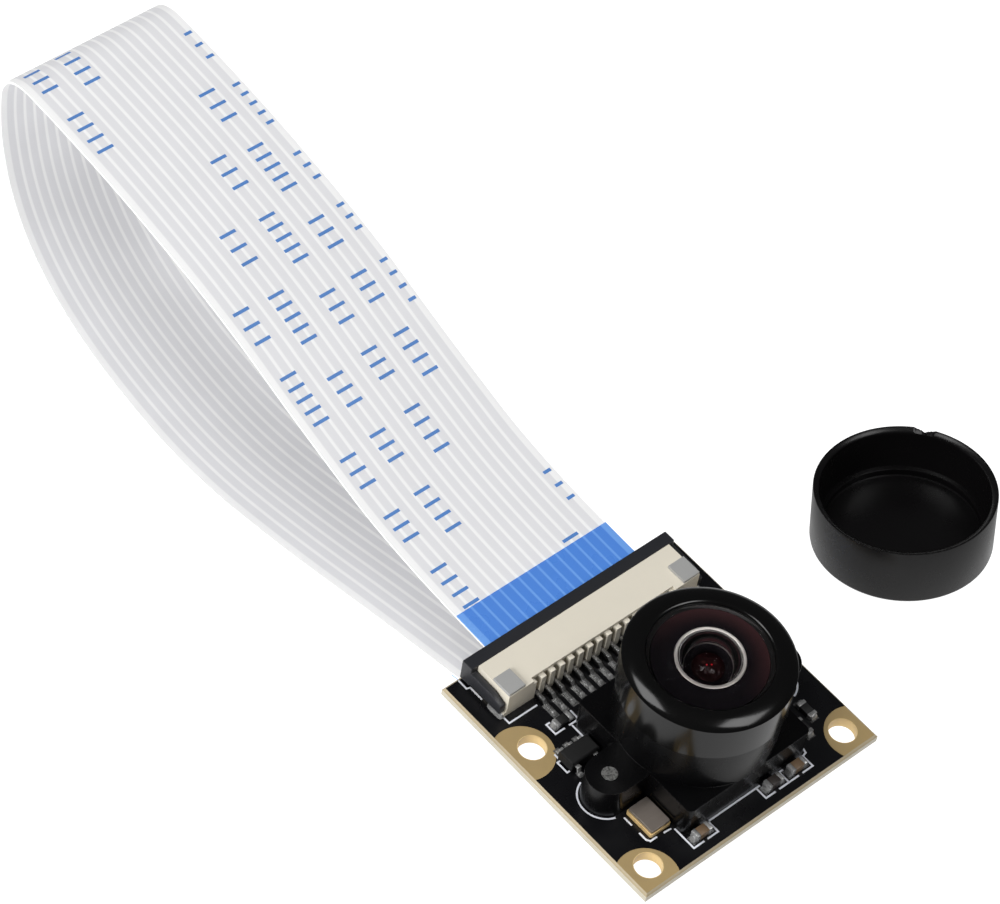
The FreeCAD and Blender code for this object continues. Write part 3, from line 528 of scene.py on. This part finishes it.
# a copy of a CAD node with its facets joined to whole faces and its edges rounded
def softened(node, width):
    only(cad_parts[node])
    bpy.ops.object.duplicate()
    copy = bpy.context.object
    for key in [key for key in copy.keys() if key.startswith("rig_")]:
        del copy[key]
    if copy.data.has_custom_normals:
        bpy.ops.mesh.customdata_custom_splitnormals_clear()
    bpy.ops.object.mode_set(mode="EDIT")
    bpy.ops.mesh.select_all(action="SELECT")
    bpy.ops.mesh.remove_doubles(threshold=weld)
    bpy.ops.mesh.dissolve_limited(angle_limit=math.radians(0.5))
    bpy.ops.object.mode_set(mode="OBJECT")
    bevelled(copy, width, segments=2)
    return copy


# a turned piece: one circle, extruded and resized through (radius, height) in mm; 0 closes it
def turned(rings, sides=128, closed=False):
    bpy.ops.object.select_all(action="DESELECT")
    first = max(rings[0][0], 0.01)
    bpy.ops.mesh.primitive_circle_add(vertices=sides, radius=first * mm, location=(0, 0, 0))
    piece = bpy.context.object
    piece.data.transform(Matrix.Translation((0, 0, rings[0][1] * mm)))
    bpy.ops.object.mode_set(mode="EDIT")
    bpy.ops.mesh.select_all(action="SELECT")
    radius, height = first, rings[0][1]
    for nextRadius, nextHeight in rings[1:]:
        rise = (nextHeight - height) * mm
        bpy.ops.mesh.extrude_region_move(TRANSFORM_OT_translate={"value": (0, 0, rise)})
        if nextRadius > 0:
            grow = nextRadius / radius
            bpy.ops.transform.resize(value=(grow, grow, 1))
        else:
            bpy.ops.mesh.merge(type="CENTER")
        radius, height = nextRadius, nextHeight
    if rings[0][0] == 0:
        pick(piece, lambda vertex: vertex.index < sides)
        bpy.ops.mesh.merge(type="CENTER")
    bpy.ops.mesh.select_all(action="SELECT")
    if closed:
        bpy.ops.mesh.remove_doubles(threshold=weld)
    bpy.ops.mesh.normals_make_consistent(inside=False)
    bpy.ops.object.mode_set(mode="OBJECT")
    return piece


# ring corners given as steps (out, up) from one point
def around(radius, height, steps):
    return [(radius + out, height + up) for out, up in steps]


# points of a dome or hollow between the axis and its edge, as (radius, height) in mm
def dome(radius, reach, edge, steps):
    top = edge + radius - math.sqrt(radius * radius - reach * reach)
    points = []
    for i in range(steps + 1):
        r = reach * i / steps
        points.append((r, top - radius + math.sqrt(radius * radius - r * r)))
    return points


# camera and cable first

addCamera()
addLights()
addFloor()

# mm, but for the length in metres; the route runs in y and z
cable = {
    "width": 16.0, "thickness": 0.2, "length": 0.1530,
    "route": ((11.55, 2.4), (25.2, 2.4), (39.2, 6.3), (49.5, 9.9), (62.0, 12.3), (71.2, 13.3),
              (79.0, 13.7), (79.4, 6.5), (77.0, -1.6), (71.6, -7.4), (63.5, -10.9), (52.0, -12.4),
              (40.2, -10.2), (25.0, -5.9), (11.2, -2.6)),
    "ridge": 0.02, "ridgeStep": 0.25, "ridgeEnd": 7.6,
    "stiffener": 7.5, "stiffenerThickness": 0.12, "stiffenerRidge": 0.015,
    "strip": 4.0, "stripThickness": 0.03, "stripWidth": 0.6, "strips": range(-7, 8),
    "marks": {"rows": (7.75, 4.65, 1.2, -2.7, -6.2), "start": (63.5, 57.5, 51.5, 45.2, 38.8),
              "turns": (-1, 0, 1), "repeat": 49.3,
              # place, count and pitch of each group of strokes
              "groups": ((0, 3, 1.5), (6.6, 5, 1.15), (14.9, 3, 1.35), (20.8, 3, 1.25),
                         (26.8, 4, 1.35)),
              "height": 1.6, "stroke": 0.30, "margin": 0.3, "clear": 0.3, "last": 74,
              "sunk": 0.005, "thickness": 0.012},
}


def cableLine():
    curve = bpy.data.curves.new("route", "CURVE")
    curve.dimensions = "3D"
    curve.resolution_u = 16
    spline = curve.splines.new("NURBS")
    spline.points.add(len(cable["route"]) - 1)
    for point, (y, z) in zip(spline.points, cable["route"]):
        point.co = (0, y * mm, z * mm, 1)
    spline.order_u = 3
    spline.use_endpoint_u = True
    holder = bpy.data.objects.new("route", curve)
    bpy.context.scene.collection.objects.link(holder)
    line = bpy.data.meshes.new_from_object(holder)
    points = [vertex.co.copy() for vertex in line.vertices]
    bpy.data.objects.remove(holder)
    bpy.data.curves.remove(curve)
    bpy.data.meshes.remove(line)
    return points


def lengthsAlong(points):
    total, lengths = 0, [0]
    for a, b in zip(points, points[1:]):
        total += (b - a).length
        lengths.append(total)
    return lengths


# the part of a line between two lengths along it
def cutLine(points, start, end):
    lengths = lengthsAlong(points)
    apart = 0.001 * mm

    def at(length):
        for a, b, la, lb in zip(points, points[1:], lengths, lengths[1:]):
            if la <= length <= lb:
                return a.lerp(b, (length - la) / (lb - la))
        return points[-1]

    inside = [p for p, length in zip(points, lengths) if start + apart < length < end - apart]
    return [at(start)] + inside + [at(end)]


# a flat band along a line; the section gives (x, low, high) from edge to edge, in mm off the line
def flatBand(points, section):
    rows, faces = [], []
    upper = [(x, high) for x, low, high in section]
    lower = [(x, low) for x, low, high in reversed(section)]
    ring = upper + lower
    for i, point in enumerate(points):
        ahead = points[min(i + 1, len(points) - 1)] - points[max(i - 1, 0)]
        ahead.normalize()
        off = Vector((0, -ahead.z, ahead.y))
        rows += [point + Vector((x * mm, 0, 0)) + off * height * mm for x, height in ring]
    count = len(ring)
    for i in range(len(points) - 1):
        for j in range(count):
            a, b = i * count + j, i * count + (j + 1) % count
            faces.append((a, b, b + count, a + count))
    half = len(section)
    for j in range(half - 1):
        for start, flip in ((0, False), ((len(points) - 1) * count, True)):
            quad = [start + j, start + count - 1 - j, start + count - 2 - j, start + j + 1]
            faces.append(tuple(reversed(quad)) if flip else tuple(quad))
    mesh = bpy.data.meshes.new("band")
    mesh.from_pydata(rows, [], faces)
    mesh.update()
    band = bpy.data.objects.new("band", mesh)
    bpy.context.scene.collection.objects.link(band)
    only(band)
    bpy.ops.object.mode_set(mode="EDIT")
    bpy.ops.mesh.select_all(action="SELECT")
    bpy.ops.mesh.normals_make_consistent(inside=False)
    bpy.ops.object.mode_set(mode="OBJECT")
    bpy.ops.object.shade_smooth_by_angle(angle=smoothAngle)
    return band


# a section that swells a little over each conductor
def ridgedSection(low, high, ridge):
    width = cable["width"]
    count = int(width / cable["ridgeStep"])
    section = []
    for i in range(count + 1):
        x = -width / 2 + width * i / count
        swell = ridge * math.cos(2 * math.pi * x) ** 2 if abs(x) < cable["ridgeEnd"] else 0
        section.append((x, low - swell, high + swell))
    return section


# short blue strokes in rows of small groups, on the cable's upper face
def printedStrokes(line, top):
    marks = cable["marks"]
    edge = cable["width"] / 2 - marks["margin"]
    low = top - marks["sunk"]
    high = low + marks["thickness"]
    strokes = []
    for x, start in zip(marks["rows"], marks["start"]):
        left = max(x - marks["height"] / 2, -edge)
        right = min(x + marks["height"] / 2, edge)
        for turn in marks["turns"]:
            for group, count, pitch in marks["groups"]:
                for i in range(count):
                    a = start + turn * marks["repeat"] - group - i * pitch
                    if a < cable["stiffener"] + marks["clear"] or a > marks["last"]:
                        continue
                    run = cutLine(line, (a - marks["stroke"]) * mm, a * mm)
                    strokes.append(flatBand(run, [(left, low, high), (right, low, high)]))
    return joined(strokes)


def makeCable():
    line = cableLine()
    total = lengthsAlong(line)[-1]
    half = cable["thickness"] / 2
    band = flatBand(line, ridgedSection(-half, half, cable["ridge"]))
    place(band, "flatCable", "board", "cable_grey", "cableFilm", "ribbon_cable")
    for end in ("Near", "Far"):
        start = 0 if end == "Near" else total - cable["stiffener"] * mm
        run = cutLine(line, start, start + cable["stiffener"] * mm)
        high = half + cable["stiffenerThickness"]
        stiffener = flatBand(run, ridgedSection(half, high, cable["stiffenerRidge"]))
        place(stiffener, "stiffener" + end, "board", "stiffener_blue", "blueFilm",
              "cable_stiffener_" + end.lower())
        start = 0 if end == "Near" else total - cable["strip"] * mm
        run = cutLine(line, start, start + cable["strip"] * mm)
        low = -half - cable["ridge"] - cable["stripThickness"]
        side = cable["stripWidth"] / 2
        strips = joined([flatBand(run, [(x - side, low, -half), (x + side, low, -half)])
                         for x in cable["strips"]])
        place(strips, "contactStrips" + end, "board", "contact_gold", "contactGold",
              "cable_contacts_" + end.lower())
    strokes = printedStrokes(line, half + cable["ridge"])
    place(strokes, "cableStrokes", "board", "stiffener_blue", "blueInk")
    print("cable line", round(total, 4))


makeCable()


# lens

lens = {
    "seat": 11.18, "inner": 4.4, "mouth": 2.9, "floor": 0.7, "tail": 2.9, "tailEdge": 0.3,
    "thread": 5.95, "threadDepth": 0.22, "pitch": 0.5, "threadStart": 0.25, "threadEnd": 0.5,
    "headBottom": 8.33, "headTop": 11.78, "headRadius": 6.87, "footEdge": 0.06, "topEdge": 0.07,
    # steps up from the head's top, at these radii, and then steps from the rim down to the bore
    "shoulder": ((6.66, 0.09), (6.5, 0.17), (6.3, 0.255), (6.1, 0.32), (5.9, 0.37)),
    "rim": 12.23, "rimSteps": ((5.7, -0.04), (5.5, -0.015), (5.3, 0), (5.14, -0.03)),
    "bore": 5.04, "boreTop": 0.12, "bevel": 0.03, "bevelAngle": 50,
    "paintReach": 0.03, "paintTop": 0.14,
}
frontGlass = {
    "radius": 5.0, "edge": 0.95, "footStep": 0.02, "topStep": 0.03, "edgeBevel": 0.05,
    "domeRadius": 9.2, "domeSteps": 28, "hollowRadius": 2.53, "hollowReach": 2.25,
    "hollowSteps": 14, "smoothAngle": 30, "paintReach": 0.02,
}
brightRing = {"inner": 2.28, "outer": 2.56, "edge": 0.03, "bevel": 0.02}


# matt black paint on the faces whose middle the rule accepts
def matte(piece, rule):
    piece.data.materials.append(looks["edgePaint"])
    for face in piece.data.polygons:
        if rule(*(face.center / mm)):
            face.material_index = 1


def makeBarrel():
    v = lens
    low = v["headBottom"] - v["tail"]
    root = v["thread"] - v["threadDepth"]
    rings = [(v["mouth"], low), (v["thread"] - v["tailEdge"], low)]
    z = low + v["threadStart"]
    while z < v["headBottom"] - v["threadEnd"]:
        rings += [(v["thread"], z), (root, z + v["pitch"] / 2)]
        z += v["pitch"]
    rings += [(root, v["headBottom"]), (v["headRadius"] - v["footEdge"], v["headBottom"]),
              (v["headRadius"], v["headBottom"] + v["footEdge"]),
              (v["headRadius"], v["headTop"] - v["topEdge"]),
              (v["headRadius"] - v["topEdge"], v["headTop"])]
    rings += around(0, v["headTop"], v["shoulder"]) + around(0, v["rim"], v["rimSteps"])
    rings += [(v["bore"], v["rim"] - v["boreTop"]), (v["bore"], v["seat"]),
              (v["inner"], v["seat"]), (v["inner"], low + v["floor"]),
              (v["mouth"], low + v["floor"]), (v["mouth"], low)]
    barrel = turned(rings, sides=192, closed=True)
    bevelled(barrel, v["bevel"], 2, v["bevelAngle"])
    place(barrel, "lensBarrel", "lens", "barrel_black", "barrelPlastic", "lens_barrel")
    matte(barrel, lambda x, y, z: (math.hypot(x, y) < v["bore"] + v["paintReach"]
                                   and z < v["rim"] - v["paintTop"]))


def makeFrontGlass():
    v, seat = frontGlass, lens["seat"]
    hollow = dome(v["hollowRadius"], v["hollowReach"], seat, v["hollowSteps"])
    edge = seat + v["edge"]
    outer = dome(v["domeRadius"], v["radius"] - v["edgeBevel"], edge + v["topStep"], v["domeSteps"])
    rings = hollow + [(v["radius"], seat), (v["radius"], edge - v["footStep"])]
    rings += list(reversed(outer))
    glass = turned(rings)
    only(glass)
    bpy.ops.object.shade_smooth_by_angle(angle=math.radians(v["smoothAngle"]))
    place(glass, "frontGlass", "lens", "lens_glass", "lensGlass", "front_lens")
    matte(glass, lambda x, y, z: math.hypot(x, y) > v["radius"] - v["paintReach"])


# the bright ring behind the front glass, with rounded edges
def makeRing():
    v = brightRing
    low, top = (corner[2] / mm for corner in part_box("element_ring"))
    edge = v["edge"]
    rings = [(v["inner"], low), (v["outer"], low), (v["outer"], top - edge),
             (v["outer"] - edge, top), (v["inner"] + edge, top), (v["inner"], top - edge),
             (v["inner"], low)]
    ring = turned(rings, closed=True)
    bevelled(ring, v["bevel"], 2)
    place(ring, "brightRing", "lens", "bright_ring", "turnedRing", "element_ring")


makeBarrel()
makeFrontGlass()
makeRing()
print("lens made")


# lens cap

# mm, with steps as (out, up); the notch is pressed into the rim at an angle, in degrees, by steps
# that reach some degrees to each side and drop a little each
cap = {
    "centre": (29.25, 5.05, -0.7), "lean": -10, "outer": 7.6, "inner": 7.0, "height": 5.5,
    "floor": 0.8, "ledge": 0.45, "ledgeHeight": 0.7,
    "foot": ((-0.3, 0), (-0.12, 0.05), (-0.03, 0.16), (0, 0.32)),
    "outerRim": ((0, -0.08), (-0.03, -0.02), (-0.08, 0), (-0.16, -0.025)),
    "innerRim": ((0.12, -0.19), (0.06, -0.27), (0.02, -0.42), (0, -0.56)),
    "ledgeCorner": ((0, 0.06), (-0.05, 0)), "ledgeEdge": ((0.05, 0), (0, -0.05)),
    "floorCorner": ((0, 0.1), (-0.1, 0)),
    "notch": 32, "rimDepth": 0.2,
    "notchSteps": ((6.5, 0.07), (5.2, 0.08), (3.6, 0.10), (2.0, 0.12), (0.8, 0.08)),
}


def makeCap():
    v = cap
    top, low = v["height"], v["floor"] + v["ledgeHeight"]
    shelf = v["inner"] - v["ledge"]
    rings = [(0, 0)] + around(v["outer"], 0, v["foot"]) + around(v["outer"], top, v["outerRim"])
    rings += around(v["inner"], top, v["innerRim"]) + around(v["inner"], low, v["ledgeCorner"])
    rings += around(shelf, low, v["ledgeEdge"]) + around(shelf, v["floor"], v["floorCorner"])
    rings += [(0, v["floor"])]
    piece = turned(rings, sides=360)
    rim = {vertex.index for vertex in piece.data.vertices
           if vertex.co.z > (top - v["rimDepth"]) * mm}

    def fromNotch(vertex):
        return abs(math.degrees(math.atan2(vertex.co.y, vertex.co.x)) - v["notch"])

    for reach, drop in v["notchSteps"]:
        pick(piece, lambda vertex: vertex.index in rim and fromNotch(vertex) < reach)
        bpy.ops.transform.translate(value=(0, 0, -drop * mm))
        bpy.ops.object.mode_set(mode="OBJECT")
    lean = Matrix.Rotation(math.radians(v["lean"]), 4, "X")
    piece.data.transform(Matrix.Translation(Vector(v["centre"]) * mm) @ lean)
    bpy.ops.object.shade_smooth_by_angle(angle=smoothAngle)
    place(piece, "lensCap", "board", "cap_black", "capPlastic", "lens_cap")


makeCap()
print("cap made")


# softened pieces: node, new name, body, slot, look, edge width

softPieces = (
    ("lens_holder", "lensHolder", "board", "holder_black", "holderPlastic", 0.16),
    ("connector_housing", "connectorHousing", "board", "connector_cream", "creamPlastic", 0.05),
    ("connector_slider", "connectorSlider", "slider", "slider_black", "sliderPlastic", 0.07),
    ("connector_tab_left", "holdDownLeft", "board", "tin", "satinTin", 0.03),
    ("connector_tab_right", "holdDownRight", "board", "tin", "satinTin", 0.03),
    ("connector_contacts", "connectorContacts", "board", "tin", "contactTin", 0.03),
    ("crystal_base", "crystalBase", "board", "crystal_ceramic", "crystalGold", 0.04),
    ("crystal_lid", "crystalLid", "board", "crystal_lid", "crystalLid", 0.05),
    ("regulator_body", "regulatorBody", "board", "chip_black", "chipBlack", 0.04),
    ("regulator_leads", "regulatorLeads", "board", "tin", "brightTin", 0.03),
)
raisedTops = {"holdDownLeft": 0.26, "holdDownRight": 0.26}


# lifts the upper face of a piece a little, in mm
def raiseTop(piece, rise):
    only(piece)
    top = max(vertex.co.z for vertex in piece.data.vertices)
    pick(piece, lambda vertex: vertex.co.z > top - 0.05 * mm)
    bpy.ops.transform.translate(value=(0, 0, rise * mm))
    bpy.ops.object.mode_set(mode="OBJECT")


for node, name, body, slot, look, width in softPieces:
    piece = softened(node, width)
    if name in raisedTops:
        raiseTop(piece, raisedTops[name])
    place(piece, name, body, slot, look, node)

chips = {"capacitor_1": "capacitorBrown", "capacitor_2": "capacitorDark",
         "capacitor_3": "capacitorBrown", "resistor_1": "chipBlack", "resistor_2": "chipBlack",
         "resistor_3": "chipBlack"}
chipSlots = {"capacitorBrown": "capacitor_brown", "capacitorDark": "capacitor_dark",
             "chipBlack": "chip_black"}
chipEdge, endEdge = 0.03, 0.04
for chip, look in chips.items():
    shortName = chip.replace("_", "")
    place(softened(chip + "_body", chipEdge), shortName + "Body", "board", chipSlots[look], look,
          chip + "_body")
    place(softened(chip + "_ends", endEdge), shortName + "Ends", "board", "tin", "brightTin",
          chip + "_ends")


# solder, one small fillet modelled once

# places and sizes in mm; chips have an angle, leads the side that they point to
solder = {
    "height": 1.04,
    "chips": ((-5.35, -7.15, 0), (2.35, -7.15, 0), (4.9, -7.15, 0), (-7.0, 7.2, 0),
              (9.4, -3.65, 90), (8.0, -4.7, 90)),
    "chipReach": 0.92, "chipSize": (0.42, 0.74, 0.42),
    "feet": range(-7, 8), "footEnd": 8.07, "footSize": (0.55, 0.46, 0.24),
    "leads": ((-9.15, 5.35, 1), (-8.2, 5.35, 1), (-7.25, 5.35, 1), (-9.15, 2.55, -1),
              (-7.25, 2.55, -1)),
    "leadReach": 0.03, "leadSize": (0.26, 0.46, 0.18),
    "tabs": (-1, 1), "tabPlace": (10.72, 11.0), "tabSize": (0.55, 1.9, 0.42),
    "topScale": (0.35, 0.75, 1), "topShift": -0.32,
}


# a cube of 1 mm, narrowed at its top and rounded
def filletShape():
    bpy.ops.object.select_all(action="DESELECT")
    bpy.ops.mesh.primitive_cube_add(size=mm, location=(0, 0, 0))
    fillet = bpy.context.object
    pick(fillet, lambda vertex: vertex.co.z > 0)
    bpy.ops.transform.resize(value=solder["topScale"])
    bpy.ops.transform.translate(value=(solder["topShift"] * mm, 0, 0))
    bpy.ops.mesh.select_all(action="SELECT")
    bpy.ops.mesh.subdivide(number_cuts=1)
    bpy.ops.object.mode_set(mode="OBJECT")
    smooth = fillet.modifiers.new("smooth", "SUBSURF")
    smooth.levels = 2
    smooth.render_levels = 2
    bpy.ops.object.modifier_apply(modifier=smooth.name)
    bpy.ops.object.shade_smooth()
    fillet.data.transform(Matrix.Translation((0, 0, 0.5 * mm)))
    return fillet


# where the fillets go: x, y, angle and size
def solderSpots():
    v = solder
    spots = []
    for x, y, angle in v["chips"]:
        for side in (0, 180):
            turn = math.radians(angle + side)
            spots.append((x + v["chipReach"] * math.cos(turn), y + v["chipReach"] * math.sin(turn),
                          angle + side, v["chipSize"]))
    for x in v["feet"]:
        spots.append((x, v["footEnd"], 270, v["footSize"]))
    for x, y, side in v["leads"]:
        spots.append((x, y + side * v["leadReach"], 90 * side, v["leadSize"]))
    for side in v["tabs"]:
        spots.append((side * v["tabPlace"][0], v["tabPlace"][1], 90 - 90 * side, v["tabSize"]))
    return spots


def makeSolder():
    shape = filletShape()
    made = []
    for x, y, angle, size in solderSpots():
        copy = shape.copy()
        copy.data = shape.data.copy()
        bpy.context.scene.collection.objects.link(copy)
        spot = Matrix.Translation((x * mm, y * mm, solder["height"] * mm))
        turn = Matrix.Rotation(math.radians(angle), 4, "Z")
        copy.data.transform(spot @ turn @ Matrix.Diagonal((*size, 1)))
        made.append(copy)
    bpy.data.objects.remove(shape)
    place(joined(made), "solderFillets", "board", "tin", "brightTin")


makeSolder()
print("small pieces made")


# CAD nodes that keep their shape

keptNodes = {
    "circuit_board": "laminate", "solder_mask_front": "solderMask",
    "solder_mask_back": "solderMask", "solder_pads": "contactTin", "silkscreen": "whitePrint",
    "holder_screw_left": "screwTip", "holder_screw_right": "screwTip", "ir_filter": "filterGlass",
    "element_cell": "innerBlack", "second_lens": "coatedGlass", "aperture_stop": "innerBlack",
    "spacer_tube": "innerBlack", "rear_lens": "coatedGlass", "sensor_package": "sensorCeramic",
    "sensor_die": "sensorSilicon", "sensor_cover_glass": "filterGlass",
}
for node, look in keptNodes.items():
    dress(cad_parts[node], look)

bpy.ops.object.select_all(action="DESELECT")
bpy.context.scene.view_settings.view_transform = "Standard"
